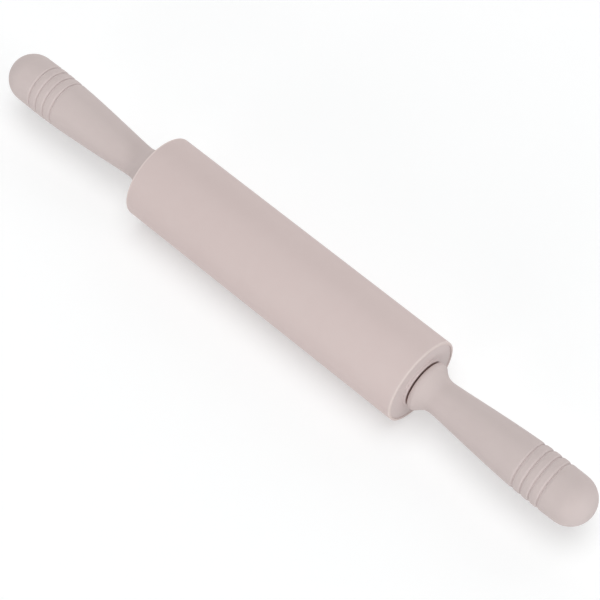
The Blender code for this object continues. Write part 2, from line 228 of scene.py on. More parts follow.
class Board:
    """A node tree that starts empty and grows by one method, whatever the node."""

    def __init__(self, tree):
        self.tree = tree
        tree.nodes.clear()

    def feed(self, socket, value):
        for item in value if isinstance(value, list) else [value]:
            if isinstance(item, Field):
                self.tree.links.new(item.socket, socket)
            else:
                socket.default_value = item

    def add(self, kind, inputs=None, output=0, **settings):
        node = self.tree.nodes.new(kind)
        for name, value in settings.items():
            setattr(node, name, value)
        for key, value in (inputs or {}).items():
            self.feed(node.inputs[key], value)
        return Field(self, node, output) if node.outputs else None

    def math(self, operation, *values):
        return self.add("ShaderNodeMath", dict(enumerate(values)), operation=operation)

    def vector(self, x=0.0, y=0.0, z=0.0):
        return self.add("ShaderNodeCombineXYZ", {"X": x, "Y": y, "Z": z})

    def split(self, place):
        parts = self.add("ShaderNodeSeparateXYZ", {0: place})
        return [parts.out(axis) for axis in "XYZ"]

    def round_the_axle(self, place):
        """Place along the axle, the two ways across it, distance from it and angle round it."""
        along, across, up = self.split(place)
        return along, across, up, (across * across + up * up).math("SQRT"), up.math("ARCTAN2", across)

    def ease(self, value, low, high):
        """0 where value is under low, 1 where it is over high, and a smooth step between."""
        given = {"Value": value, "From Min": low, "From Max": high}
        return self.add("ShaderNodeMapRange", given, interpolation_type="SMOOTHSTEP")


print("fields and boards are ready")

# %% [markdown]
# ## Recipes
#
# A recipe is a Geometry Nodes tree with named inputs. An object carries it as a modifier just long enough
# for Blender to work it out; then the result is kept as a plain mesh. Inputs are set by their socket's
# identifier, because that is how a modifier stores them.

# %% Make and run a recipe
INPUT_KINDS = {
    "geometry": "NodeSocketGeometry",
    "length": "NodeSocketFloat",
    "count": "NodeSocketInt",
    "material": "NodeSocketMaterial",
}


def new_recipe(name, lengths=(), **inputs):
    """A geometry tree with these inputs, facets and a material, as a board and its inputs' fields."""
    inputs = {**inputs, **dict.fromkeys(lengths, "length"), "facets": "count", "material": "material"}
    tree = bpy.data.node_groups.new(name, "GeometryNodeTree")
    for label, kind in inputs.items():
        tree.interface.new_socket(label, in_out="INPUT", socket_type=INPUT_KINDS[kind])
    tree.interface.new_socket("result", in_out="OUTPUT", socket_type="NodeSocketGeometry")
    board = Board(tree)
    entry = board.add("NodeGroupInput")
    return board, {label: entry.out(label) for label in inputs}


def end_recipe(board, shape, given):
    """Every recipe ends alike: instances made real, then the material."""
    real = board.add("GeometryNodeRealizeInstances", {0: shape})
    painted = board.add("GeometryNodeSetMaterial", {"Geometry": real, "Material": given["material"]})
    board.add("NodeGroupOutput", {0: painted})
    print(board.tree.name, "recipe has", len(board.tree.nodes), "nodes")
    return board.tree


def run_recipe(tree, start=None, **values):
    """What the recipe makes of a start mesh, as a plain mesh."""
    holder = new_object(tree.name, start or bpy.data.meshes.new(tree.name))
    modifier = holder.modifiers.new("recipe", "NODES")
    modifier.node_group = tree
    for item in tree.interface.items_tree:
        if item.in_out == "INPUT" and item.name in values:
            modifier[item.identifier] = values[item.name]
    holder.update_tag()
    bpy.context.view_layer.update()
    graph = bpy.context.evaluated_depsgraph_get()
    mesh = bpy.data.meshes.new_from_object(holder.evaluated_get(graph), depsgraph=graph)
    bpy.data.objects.remove(holder)
    return mesh


print("recipes can be made and run")

# %% [markdown]
# ## Turning
#
# On a lathe the work turns and the tool follows an outline. In Geometry Nodes that is a Curve to Mesh node:
# the path is a small circle, and the outline rides round it, drawn with its distance from the axle along X
# and its place along the axle along Y. The circle has a radius of its own, so the outline is first drawn in
# by as much. Points that meet on the axle or at a seam are merged, which closes the form.

# %% Sweep an outline round the axle
TURNING_CIRCLE = 1.0 * MM
WELD = 0.0005 * MM


def swept(board, outline, facets):
    """The outline curve turned about the X axis, welded shut."""
    circle = {"Resolution": facets, "Radius": TURNING_CIRCLE}
    path = board.add("GeometryNodeCurvePrimitiveCircle", circle, mode="RADIUS")
    drawn_in = {"Geometry": outline, "Translation": (-TURNING_CIRCLE, 0, 0)}
    profile = board.add("GeometryNodeTransform", drawn_in)
    sweep = board.add("GeometryNodeCurveToMesh", {"Curve": path, "Profile Curve": profile})
    laid = board.add("GeometryNodeTransform", {"Geometry": sweep, "Rotation": (0, -math.pi / 2, 0)})
    return board.add("GeometryNodeMergeByDistance", {"Geometry": laid, "Distance": WELD})


def turned_outline(board, given):
    """The outline that a recipe is given, turned with its count of facets."""
    line = board.add("GeometryNodeMeshToCurve", {0: given["outline"]})
    return swept(board, line, given["facets"])


def turning_recipe():
    board, given = new_recipe("turning", outline="geometry")
    return end_recipe(board, turned_outline(board, given), given)


turning = turning_recipe()

# %% [markdown]
# ## Outlines with broken edges
#
# No moulded or turned edge is perfectly sharp, and a sharp one catches no light. So an outline is written
# as corners, each with the radius that breaks it, and the arcs are worked out from the two sides that meet
# there.

# %% Draw an outline
ARC_STEPS = 5
# A share of the shorter side, and half of the angle between the sides in radians
LONGEST_REACH = 0.45
NEARLY_STRAIGHT = 1.5


def broken_corner(before, corner, after, radius):
    """The points that round one corner, or the corner itself where it is sharp or nearly straight."""
    to_before = (before - corner).normalized()
    to_after = (after - corner).normalized()
    half_angle = to_before.angle(to_after) / 2
    if radius == 0 or half_angle > NEARLY_STRAIGHT:
        return [corner]
    room = LONGEST_REACH * min((before - corner).length, (after - corner).length)
    reach = min(radius / math.tan(half_angle), room)
    bend = reach * math.tan(half_angle)
    centre = corner + (to_before + to_after).normalized() * (bend / math.sin(half_angle))
    start = (corner + to_before * reach - centre).normalized()
    end = (corner + to_after * reach - centre).normalized()
    return [centre + start.slerp(end, step / ARC_STEPS) * bend for step in range(ARC_STEPS + 1)]


def drawn(*corners, closed=True):
    """A mesh of edges along an outline of (place along the axle, radius, edge radius) corners."""
    points = [Vector((radius, along)) for along, radius, _ in corners]
    ends = () if closed else (0, len(points) - 1)
    line = []
    for index, corner in enumerate(points):
        after = points[(index + 1) % len(points)]
        edge = 0 if index in ends else corners[index][2]
        line += broken_corner(points[index - 1], corner, after, edge)
    edges = [(index, index + 1) for index in range(len(line) - 1)]
    if closed:
        edges.append((len(line) - 1, 0))
    mesh = bpy.data.meshes.new("outline")
    mesh.from_pydata([(point.x, point.y, 0) for point in line], edges, [])
    return mesh


print("a broken square corner takes", ARC_STEPS + 1, "points")

# %% [markdown]
# ## Finishes
#
# Every surface of the tool has a tone that varies a little, a grain and some wear. Each finish is a Board
# on Object coordinates, in metres, so a pattern sits still on its piece and turns with it. Only colour,
# roughness and bump vary; what is the same all over is set on the shader. A point is known by its place
# along the axle, its distance from it and its angle round it.


# %% The start of every finish
def srgb(red, green, blue):
    """A screen colour in the linear values that a shader takes."""
    linear = []
    for share in (red / 255, green / 255, blue / 255):
        linear.append(share / 12.92 if share <= 0.04045 else ((share + 0.055) / 1.055) ** 2.4)
    return (*linear, 1.0)


class Finish(Board):
    """A material's board, with the patterns that this tool's surfaces share."""

    def __init__(self, name):
        self.material = bpy.data.materials.new(name)
        self.material.use_nodes = True
        super().__init__(self.material.node_tree)
        self.place = self.add("ShaderNodeTexCoord", output="Object")

    def noise(self, size, detail=2.0, place=None):
        """Noise whose features are about this many metres across, from 0 to 1."""
        given = {"Vector": place or self.place, "Scale": 1 / size, "Detail": detail}
        return self.add("ShaderNodeTexNoise", given)

    def between(self, low, high, factor):
        """The colour that lies this far from low to high."""
        return self.add("ShaderNodeMix", {0: factor, 6: low, 7: high}, output=2, data_type="RGBA")

    def from_middle(self):
        """How far a point lies along the axle from the middle, how far out from it, and its angle."""
        along, _, _, out, angle = self.round_the_axle(self.place)
        return abs(along), out, angle

    def done(self, colour, roughness, height, depth, constants):
        """The shader: a height field with its depth in metres becomes the bump."""
        bump = self.add("ShaderNodeBump", {"Strength": 1.0, "Distance": depth, "Height": height})
        sockets = {"Base Color": colour, "Roughness": roughness, "Normal": bump, **constants}
        shader = self.add("ShaderNodeBsdfPrincipled", sockets)
        self.add("ShaderNodeOutputMaterial", {"Surface": shader})
        print(self.material.name, "finish has", len(self.tree.nodes), "nodes")
        return self.material


print("an even grey of 128 is", round(srgb(128, 128, 128)[0], 3), "to a shader")

# %% [markdown]
# ## Silicone
#
# Soft silicone is dyed through and moulded in blasted steel, and it is never quite even: broad faint clouds
# and a grain much finer than salt. A grain could be modelled, but at a tenth of a millimetre a bump is
# enough. Four noises of unlike size make it. A function for each moulding says where a paler colour is
# painted on as light: a painted highlight on the sleeve's end and the dome's crown, and painted light that
# lifts the shade in the grip's grooves.


# %% Silicone of the sleeve and of the handles
def silicone(name, deep, pale, edge, painted_light_mask):
    """The last argument says where a paler colour is painted on as light, from 0 to 1."""
    board = Finish(name)
    along, *_ = board.from_middle()
    cloud = board.noise(55 * MM)
    mottle = board.noise(7 * MM, 3.0)
    grain = board.noise(0.55 * MM, 3.0)
    pores = board.noise(0.16 * MM, 1.0)
    tone = 0.5 + (cloud - 0.5) * 0.5 + (mottle - 0.5) * 0.5 + (grain - 0.5) * 0.3
    light_share = painted_light_mask(board, along)
    # Painted light: the paler third colour is mixed in where the mask asks for it
    colour = board.between(board.between(srgb(*deep), srgb(*pale), tone), srgb(*edge), light_share)
    roughness = 0.74 + (mottle - 0.5) * 0.12 + (grain - 0.5) * 0.1 - light_share * 0.1
    height = grain * 0.7 + pores * 0.3
    return board.done(colour, roughness, height, 0.03 * MM, {"IOR": 1.41})


def sleeve_rim_highlight(board, along):
    """Painted highlight: the last millimetre and the end ring of the sleeve, and the shaded step at its bore,
    painted paler.
    """
    return board.ease(along, ROLLER_HALF - 1.2 * MM, ROLLER_HALF - 0.5 * MM)


def from_groove(along, last, pitch, count):
    """How far a place along the axle is from the middle of the nearest groove of the handle."""
    pitches = (last - along) / pitch
    groove = pitches.math("ROUND").math("MAXIMUM", 0).math("MINIMUM", count - 1)
    return abs(pitches - groove) * pitch


def grip_painted_light(board, along):
    """Painted highlight on the crown of the dome, and painted light that lifts the shade in the grooves."""
    crown_highlight = board.ease(along, DOME_START + 4 * MM, DOME_START + 14 * MM)
    away = from_groove(along, LAST_GROOVE, GROOVE_PITCH, GROOVES)
    # Painted light in the grooves, where shade would fall
    groove = 1 - board.ease(away, 0.3 * MM, 1.6 * MM)
    return crown_highlight * 0.35 + groove * 0.7


# The third colour of each is painted light, not the silicone's own tone
sleeve_colours = ((203, 186, 183), (209, 194, 191), (217, 203, 199))
handle_colours = ((195, 181, 179), (203, 191, 188), (209, 197, 195))
sleeve_finish = silicone("sleeve_silicone", *sleeve_colours, sleeve_rim_highlight)
handle_finish = silicone("handle_skin_silicone", *handle_colours, grip_painted_light)

# %% [markdown]
# ## Plastics
#
# The plugs, the barrel and the bearings are moulded too, but stiff, and the melt leaves faint flow lines that
# fan out from the middle. A noise whose coordinates are the angle, the distance from the axle and the place
# along it gives such a fan, and one function makes all three plastics. The boss's face inside the narrow gap
# is painted darker and redder, as painted shade for the gap.


# %% Moulded plastics
# Painted shade: the dark reddish colour of the boss's face inside the narrow gap
GAP_SHADE = srgb(162, 130, 124)


def moulded(name, deep, pale, roughness, grain_size, depth, painted_shade=None):
    """Plastic with its mould's grain and faint flow lines; the last argument says where shade is painted on.
    """
    board = Finish(name)
    along, out, angle = board.from_middle()
    cloud = board.noise(30 * MM)
    grain = board.noise(grain_size)
    fan = board.vector(angle * 6.0, out * 60.0, along * 8.0)
    flow = board.noise(1.0, 3.0, place=fan)
    tone = 0.5 + (cloud - 0.5) * 0.8 + (flow - 0.5) * 0.5 + (grain - 0.5) * 0.2
    colour = board.between(srgb(*deep), srgb(*pale), tone)
    if painted_shade:
        colour = board.between(colour, GAP_SHADE, painted_shade(board, along, out))
    rough = roughness + (flow - 0.5) * 0.12 + (grain - 0.5) * 0.1
    return board.done(colour, rough, grain * 0.8 + flow * 0.2, depth, {"IOR": 1.49})


def gap_shade_mask(board, along, out):
    """Painted shade on the face of the boss inside the narrow gap before the handle's collar."""
    inside = 1 - board.ease(out, BOSS_RADIUS - 1.2 * MM, BOSS_RADIUS - 0.6 * MM)
    return board.ease(along, BOSS_FACE - 0.5 * MM, BOSS_FACE - 0.2 * MM) * inside


plug_colours = ((203, 189, 187), (211, 198, 196))
plug_finish = moulded("plug_plastic", *plug_colours, 0.6, 0.4 * MM, 0.03 * MM, gap_shade_mask)
barrel_finish = moulded("natural_plastic", (216, 213, 206), (228, 226, 220), 0.42, 0.7 * MM, 0.02 * MM)
nylon_finish = moulded("natural_nylon", (222, 219, 209), (234, 232, 225), 0.36, 0.3 * MM, 0.01 * MM)

# %% [markdown]
# ## Metals
#
# Drawn bar, stamped strip and turned brass differ mostly in how their fine lines run: along the bar, across
# the strip or round the turning. One function stretches a noise by three counts, and that tells them apart.
# Metallic is 1 all over, so it is set on the shader and no node feeds it.


# %% Metals
def metal(name, deep, pale, roughness, lines, depth):
    """Drawn or turned metal: fine lines, counted along the axle, round it and out from it by lines."""
    board = Finish(name)
    along, out, angle = board.from_middle()
    marks = board.noise(1.0, 4.0, place=board.vector(along * lines[0], angle * lines[1], out * lines[2]))
    smudge = board.noise(12 * MM)
    colour = board.between(srgb(*deep), srgb(*pale), marks * 0.7 + smudge * 0.3)
    rough = roughness + (marks - 0.5) * 0.2 + (smudge - 0.5) * 0.1
    return board.done(colour, rough, marks, depth, {"Metallic": 1.0})


steel_finish = metal("drawn_steel", (168, 170, 173), (190, 191, 193), 0.3, (60, 90, 2500), 0.008 * MM)
stamped_finish = metal("stamped_steel", (128, 131, 136), (158, 160, 163), 0.38, (400, 12, 1800), 0.01 * MM)
brass_finish = metal("turned_brass", (178, 146, 82), (204, 176, 112), 0.3, (7000, 3, 500), 0.01 * MM)

# %% [markdown]
# ## Setting a piece in its place
#
# Every finer piece stands for one node of the solid model and moves with that node's body. A left piece is a
# new mesh, the right one turned half round about the upright axis, as a maker would do with the second of two
# equal mouldings.


# %% Finish a mesh and hand it to the frame
def tidied(mesh, sharp=35):
    """Doubles merged, faces outwards, smooth except along edges sharper than this many degrees."""
    shape = bmesh.new()
    shape.from_mesh(mesh)
    bmesh.ops.remove_doubles(shape, verts=shape.verts, dist=WELD)
    bmesh.ops.dissolve_degenerate(shape, edges=shape.edges, dist=WELD)
    bmesh.ops.recalc_face_normals(shape, faces=shape.faces)
    shape.to_mesh(mesh)
    shape.free()
    mesh.shade_smooth()
    mesh.set_sharp_from_angle(angle=math.radians(sharp))
    return mesh


def set_in(name, mesh, node, body):
    """One piece that stands for a node and moves with a body."""
    piece = new_object(name, mesh)
    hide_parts(node)
    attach(piece, body)
    reach = max(vertex.co.x for vertex in mesh.vertices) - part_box(node)[1].x
    faces = sum(len(face.vertices) - 2 for face in mesh.polygons)
    print(name, "has", faces, "triangles and ends", round(reach / MM, 3), "mm past its solid")


def half_turned(mesh):
    """A copy of a mesh, turned half round about the upright axis."""
    other = mesh.copy()
    other.transform(Matrix.Rotation(math.pi, 4, "Z"))
    return other


def set_pair(name, mesh, node, body):
    set_in(name + "_right", mesh, node + "_right", body)
    set_in(name + "_left", half_turned(mesh), node + "_left", body)


# %% [markdown]
# ## The roller's sleeve
#
# The part that touches the dough is a soft tube, pulled over the barrel. Its outer edges are rounded by just
# under half a millimetre, which, with a highlight painted on the end, makes the pale line round the end. A
# cylinder with a bevel would do for the outside; an outline with broken corners gives the bore and the end
# ring as well.

# %% Turn the sleeve
sleeve_outline = drawn(
    (-ROLLER_HALF, ROLLER_RADIUS, 0.4 * MM),
    (ROLLER_HALF, ROLLER_RADIUS, 0.4 * MM),
    (ROLLER_HALF, SLEEVE_BORE, 0.1 * MM),
    (-ROLLER_HALF, SLEEVE_BORE, 0.1 * MM),
)
sleeve = run_recipe(turning, sleeve_outline, facets=192, material=sleeve_finish)
set_in("roller_sleeve", tidied(sleeve), "silicone_sleeve", "roller")

# %% [markdown]
# ## The handle's skin
#
# A handle is one soft moulding: a round collar, a trumpet down to the neck, a long swell for the palm, four
# ring grooves and a round dome. All of that follows rules, so one recipe makes it. Two Bezier curves make
# the trumpet and the swell, and arcs the collar's edge and the dome; each comes twice, once for the outside
# and once, drawn in by the wall, for the lining.


# %% Curves that a side is drawn with
COARSE = 1.2 * MM
FINE = 0.11 * MM
BEND_POINTS = 22
COLLAR_EDGE = 1.5 * MM
COLLAR_REACH = 1.5 * MM
FLARE_REACH = 6.0 * MM
NECK_REACH = 7.0 * MM
GRIP_REACH = 27.0 * MM
LINING_STEP = 4 * COARSE


def bend(board, start, start_reach, end, end_reach):
    """A Bezier curve between two (radius, place) points that leaves and arrives level with the axle."""
    points = {
        "Start": (*start, 0),
        "Start Handle": (start[0], start[1] + start_reach, 0),
        "End Handle": (end[0], end[1] - end_reach, 0),
        "End": (*end, 0),
        "Resolution": BEND_POINTS,
    }
    return board.add("GeometryNodeCurvePrimitiveBezierSegment", points)


def straight(board, start, end):
    return board.add("GeometryNodeCurvePrimitiveLine", {"Start": (*start, 0), "End": (*end, 0)})


def stepped(board, curve, spacing):
    return board.add("GeometryNodeResampleCurve", {"Curve": curve, "Length": spacing}, mode="LENGTH")


def quarter(board, radius, start_deg, centre):
    """A quarter of a circle about a (radius, place) centre."""
    turned = {"Radius": radius, "Start Angle": math.radians(start_deg), "Sweep Angle": math.pi / 2}
    arc = board.add("GeometryNodeCurveArc", {"Resolution": BEND_POINTS, **turned}, mode="RADIUS")
    return board.add("GeometryNodeTransform", {"Geometry": arc, "Translation": (*centre, 0)})


print("the fine part of a side has a point every", round(FINE / MM, 2), "mm")


# %% Draw the side of the handle inside a recipe
def side_of_handle(board, inset, fine):
    """Trumpet, swell, band and dome, drawn in by inset; the end of the swell and the band can be fine."""
    collar = (COLLAR_RADIUS - inset, FLARE_START)
    neck = (NECK_RADIUS - inset, NECK)
    grip = (GRIP_RADIUS - inset, GRIP_END)
    dome = (DOME_RADIUS - inset, DOME_START)
    swell = bend(board, neck, NECK_REACH, grip, GRIP_REACH)
    plain = LAST_GROOVE - (GROOVES - 0.5) * GROOVE_PITCH - NECK
    first_part = board.add("GeometryNodeTrimCurve", {0: swell, 4: 0.0, 5: plain}, mode="LENGTH")
    second_part = board.add("GeometryNodeTrimCurve", {0: swell, 4: plain, 5: 1.0}, mode="LENGTH")
    spacing = FINE if fine else LINING_STEP
    return [
        bend(board, collar, COLLAR_REACH, neck, FLARE_REACH),
        stepped(board, first_part, COARSE if fine else LINING_STEP),
        stepped(board, second_part, spacing),
        stepped(board, straight(board, grip, dome), spacing),
        quarter(board, dome[0], 0, (0, DOME_START)),
    ]


print("the side runs over", round((DOME_START + DOME_RADIUS - FLARE_START) / MM, 1), "mm")

# %% [markdown]
# ## The grooves
#
# Four ring grooves keep a floury hand from slipping. They are the part of the handle that repeats. Instead
# of drawing four notches, the recipe asks how far each point of the outline lies from the middle of the
# nearest groove, as the silicone's finish did. The answer says how deep the point goes, and it lets the
# lands beside the groove fall off in a soft shoulder.


# %% Cut the grooves and join the skin
def notched(board, curve, given):
    """The outline with its grooves, and soft shoulders on the lands beside them, outside only."""
    out, along, _ = board.split(board.add("GeometryNodeInputPosition"))
    away = from_groove(along, given["last groove"], given["groove pitch"], given["grooves"])
    half_width = given["groove width"] / 2
    wall = board.ease(away, given["groove floor"] / 2, half_width)
    shoulder = board.ease(away, half_width, given["shoulder width"] + half_width)
    depth = (1 - wall) * given["groove depth"] + (1 - shoulder) * given["shoulder drop"]
    moved = {"Geometry": curve, "Offset": board.vector(0 - depth)}
    moved["Selection"] = out.math("GREATER_THAN", GRIP_RADIUS - SKIN)
    return board.add("GeometryNodeSetPosition", moved)


def skin_recipe():
    """The outline of a skin from the collar to the dome and back inside, grooved and turned."""
    groove = ("last groove", "groove pitch", "groove width", "groove floor", "groove depth")
    board, given = new_recipe("handle_skin", (*groove, "shoulder width", "shoulder drop"), grooves="count")
    bore = COLLAR_RADIUS - SKIN
    edge = COLLAR_RADIUS - COLLAR_EDGE
    collar = [
        straight(board, (bore, COLLAR_FACE), (edge, COLLAR_FACE)),
        quarter(board, COLLAR_EDGE, -90, (edge, COLLAR_FACE + COLLAR_EDGE)),
        straight(board, (COLLAR_RADIUS, COLLAR_FACE + COLLAR_EDGE), (COLLAR_RADIUS, FLARE_START)),
        straight(board, (bore, COLLAR_FACE), (bore, FLARE_START)),
    ]
    curves = collar + side_of_handle(board, 0.0, True) + side_of_handle(board, SKIN, False)
    outline = board.add("GeometryNodeJoinGeometry", {"Geometry": curves})
    skin = swept(board, notched(board, outline, given), given["facets"])
    return end_recipe(board, skin, given)


skin = skin_recipe()

# %% Make both skins
groove_sizes = {
    "last groove": LAST_GROOVE,
    "groove pitch": GROOVE_PITCH,
    "groove width": 1.3 * MM,
    "groove floor": 0.24 * MM,
    "groove depth": 0.8 * MM,
    "shoulder width": 0.9 * MM,
    "shoulder drop": 0.28 * MM,
}
handle_skin = run_recipe(skin, facets=112, grooves=GROOVES, material=handle_finish, **groove_sizes)
set_pair("handle_skin", tidied(handle_skin, 60), "handle_grip", "handles")

# %% [markdown]
# ## The end plugs
#
# Each end of the barrel is closed by a moulded disc. Outside it shows a flat ring and a raised boss as wide
# as the handle's collar, with the bearing in a pocket. The dark line is the narrow gap between boss and
# collar, which lets the handle turn, with shade painted on the boss's face inside it. Inside, the disc has
# what makes a thin moulding stiff: a skirt that fits the barrel, a hub, and ribs between them. The disc is
# turned, and the ribs are one block set round the axle by a count, joined to the disc as the mould would make
# them.


# %% Build the ribbed recipe
def ribbed_recipe():
    """A turned outline with ribs round the axle, whose outer edges may lean outwards at the front."""
    lengths = ("thickness", "inner", "front", "back", "outer front", "outer back")
    board, given = new_recipe("ribbed", lengths, outline="geometry", ribs="count")
    disc = turned_outline(board, given)

    long = given["front"] - given["back"]
    block = board.add("GeometryNodeMeshCube", {"Size": board.vector(long, given["thickness"], 1.0)})
    x, y, z = board.split(board.add("GeometryNodeInputPosition"))
    forward = x / long + 0.5
    outer = given["outer back"] + (given["outer front"] - given["outer back"]) * forward
    height = given["inner"] + (outer - given["inner"]) * (z + 0.5)
    corner = board.vector(given["back"] + long * forward, y, height)
    rib = board.add("GeometryNodeSetPosition", {"Geometry": block, "Position": corner})

    spots = board.add("GeometryNodePoints", {"Count": given["ribs"]})
    angle = board.add("GeometryNodeInputIndex") * (2 * math.pi) / given["ribs"]
    turned = {"Points": spots, "Instance": rib, "Rotation": board.vector(angle)}
    ribs = board.add("GeometryNodeInstanceOnPoints", turned)
    real = board.add("GeometryNodeRealizeInstances", {0: ribs})
    both = {"Mesh 2": [disc, real], "Self Intersection": True}
    joined = board.add("GeometryNodeMeshBoolean", both, operation="UNION", solver="EXACT")
    return end_recipe(board, joined, given)


ribbed = ribbed_recipe()

# %% Turn a plug and set its ribs
DISC_RADIUS = SLEEVE_BORE - 0.02 * MM
plug_outline = drawn(
    (HUB_END, HUB_BORE, 0.3 * MM),
    (POCKET_FLOOR, HUB_BORE, 0.2 * MM),
    (POCKET_FLOOR, POCKET_RADIUS, 0.3 * MM),
    (BOSS_FACE, POCKET_RADIUS, 0.2 * MM),
    (BOSS_FACE, BOSS_RADIUS, 0.4 * MM),
    (PLUG_FACE, BOSS_RADIUS, 0.4 * MM),
    (PLUG_FACE, DISC_RADIUS, 0.05 * MM),
    (PLUG_BACK, DISC_RADIUS, 0.2 * MM),
    (PLUG_BACK, SKIRT_RADIUS, 0.0),
    (SKIRT_END, SKIRT_RADIUS, 0.6 * MM),
    (SKIRT_END, SKIRT_BORE, 0.3 * MM),
    (PLUG_BACK, SKIRT_BORE, 0.6 * MM),
    (PLUG_BACK, HUB_RADIUS, 0.6 * MM),
    (HUB_END, HUB_RADIUS, 0.4 * MM),
)
RIB_THICKNESS = 1.6 * MM
RIB_LENGTH = 9.0 * MM
rib_root = 0.6 * MM
rib_sizes = {
    "thickness": RIB_THICKNESS,
    "inner": HUB_RADIUS - rib_root,
    "front": PLUG_BACK + rib_root,
    "back": PLUG_BACK - RIB_LENGTH,
    "outer front": SKIRT_BORE + rib_root,
    "outer back": SKIRT_BORE + rib_root,
}
plug = run_recipe(ribbed, plug_outline, facets=128, ribs=8, material=plug_finish, **rib_sizes)
set_pair("ribbed_plug", tidied(plug), "end_plug", "roller")

# %% [markdown]
# ## Barrel, bearings and washers
#
# Under the sleeve is a plain extruded tube, rounded inside its mouths so that the plugs slide in. Each plug
# holds a flanged nylon bush, the bearing that the axle runs in, and a nylon washer keeps the handle's core
# off its flange. All three are plain turnings: a short list of corners is enough for each.

# %% Turn the barrel, the bushes and the washers
barrel_outline = drawn(
    (-BARREL_HALF, BARREL_RADIUS, 0.2 * MM),
    (BARREL_HALF, BARREL_RADIUS, 0.2 * MM),
    (BARREL_HALF, BARREL_BORE, 0.5 * MM),
    (-BARREL_HALF, BARREL_BORE, 0.5 * MM),
)
barrel = run_recipe(turning, barrel_outline, facets=160, material=barrel_finish)
set_in("barrel", tidied(barrel), "core_tube", "roller")

bush_outline = drawn(
    (BUSH_END, BUSH_BORE, 0.3 * MM),
    (BUSH_FACE, BUSH_BORE, 0.3 * MM),
    (BUSH_FACE, FLANGE_RADIUS, 0.3 * MM),
    (BUSH_SEAT, FLANGE_RADIUS, 0.1 * MM),
    (BUSH_SEAT, BUSH_RADIUS, 0.2 * MM),
    (BUSH_END, BUSH_RADIUS, 0.5 * MM),
)
bush = run_recipe(turning, bush_outline, facets=96, material=nylon_finish)
set_pair("flanged_bush", tidied(bush), "bush", "roller")

washer_outline = drawn(
    (WASHER_INNER, AXLE_HOLE, 0.1 * MM),
    (WASHER_OUTER, AXLE_HOLE, 0.1 * MM),
    (WASHER_OUTER, FLANGE_RADIUS, 0.2 * MM),
    (WASHER_INNER, FLANGE_RADIUS, 0.2 * MM),
)
washer = run_recipe(turning, washer_outline, facets=96, material=nylon_finish)
set_pair("nylon_washer", tidied(washer), "thrust_washer", "handles")

# %% [markdown]
# ## Threads and knurls
#
# A thread is a groove that climbs one pitch with every turn. So a point is asked what the handle's grooves
# asked, but its place along the axle is taken less its share of a turn. The nut uses the same sum with a
# little more room, so the two threads run in step. A knurl is two such sums, one for each way that the
# ridges lean, and a point is as high as the lower of the two.


# %% Ask how high a ridge is at a point, and move the point outwards
def flank(phase):
    """0 halfway through each whole step of phase, 1 at its ends."""
    return abs(phase.math("FRACT") - 0.5) * 2


def pushed(board, shape, distance, chosen, across, up, out):
    """The chosen points moved out from the axle by distance."""
    share = distance / out
    moved = {"Geometry": shape, "Offset": board.vector(0.0, across * share, up * share), "Selection": chosen}
    return board.add("GeometryNodeSetPosition", moved)


def ruled(start, end, radius, step):
    """Corners at even steps along a cylinder, close enough for a recipe to shape."""
    count = round(abs(end - start) / step)
    return [(start + (end - start) * index / count, radius, 0.0) for index in range(count + 1)]


THREAD_STEP = 0.1 * MM
KNURL_STEP = 0.22 * MM
thread_sizes = {"pitch": 1.25 * MM, "depth": 0.65 * MM}
print("a thread has", round(thread_sizes["pitch"] / THREAD_STEP, 1), "points in each turn")


# %% Build the threaded recipe
THREAD_FLAT = 0.1
THREAD_REACH = 0.5 * MM
KNURL_REACH = 0.1 * MM


def threaded_recipe():
    """A turned outline with a thread cut in at one level and a knurl raised at another."""
    thread = ("thread level", "thread start", "thread end", "pitch", "depth", "room")
    lengths = (*thread, "knurl level", "knurl depth")
    board, given = new_recipe("threaded", lengths, outline="geometry", ridges="count")
    along, across, up, out, angle = board.round_the_axle(board.add("GeometryNodeInputPosition"))
    turns = angle / (2 * math.pi)

    side = flank(along / given["pitch"] - turns)
    cut = given["room"] + given["depth"] * board.ease(side, THREAD_FLAT, 1 - THREAD_FLAT)
    begins = board.ease(along, given["thread start"], given["thread start"] + given["pitch"])
    ends = board.ease(along, given["thread end"], given["thread end"] - given["pitch"])
    near = abs(out - given["thread level"]).math("LESS_THAN", THREAD_REACH)
    shape = turned_outline(board, given)
    shape = pushed(board, shape, 0 - cut * begins * ends, near, across, up, out)

    climb = along / (2 * math.pi * given["knurl level"] / given["ridges"])
    ridges = turns * given["ridges"]
    height = flank(ridges + climb).math("MINIMUM", flank(ridges - climb)) * given["knurl depth"]
    outside = out.math("GREATER_THAN", given["knurl level"] - KNURL_REACH)
    shape = pushed(board, shape, height, outside, across, up, out)
    return end_recipe(board, shape, given)


threaded = threaded_recipe()

# %% [markdown]
# ## The axle
#
# One steel rod runs through everything. Near each end it has a groove for a snap ring, which sets how far
# the roller can slide, and a thread for its handle. Only the right half is turned; the left is the same
# mesh turned half round, which keeps the thread right-handed, as a mirror copy wouldn't. A knurl level far
# outside the rod leaves it without a knurl.


# %% Turn the axle
def with_left_half(mesh):
    """The mesh joined to its half-turned copy."""
    shape = bmesh.new()
    shape.from_mesh(mesh)
    shape.from_mesh(half_turned(mesh))
    shape.to_mesh(mesh)
    shape.free()
    return mesh


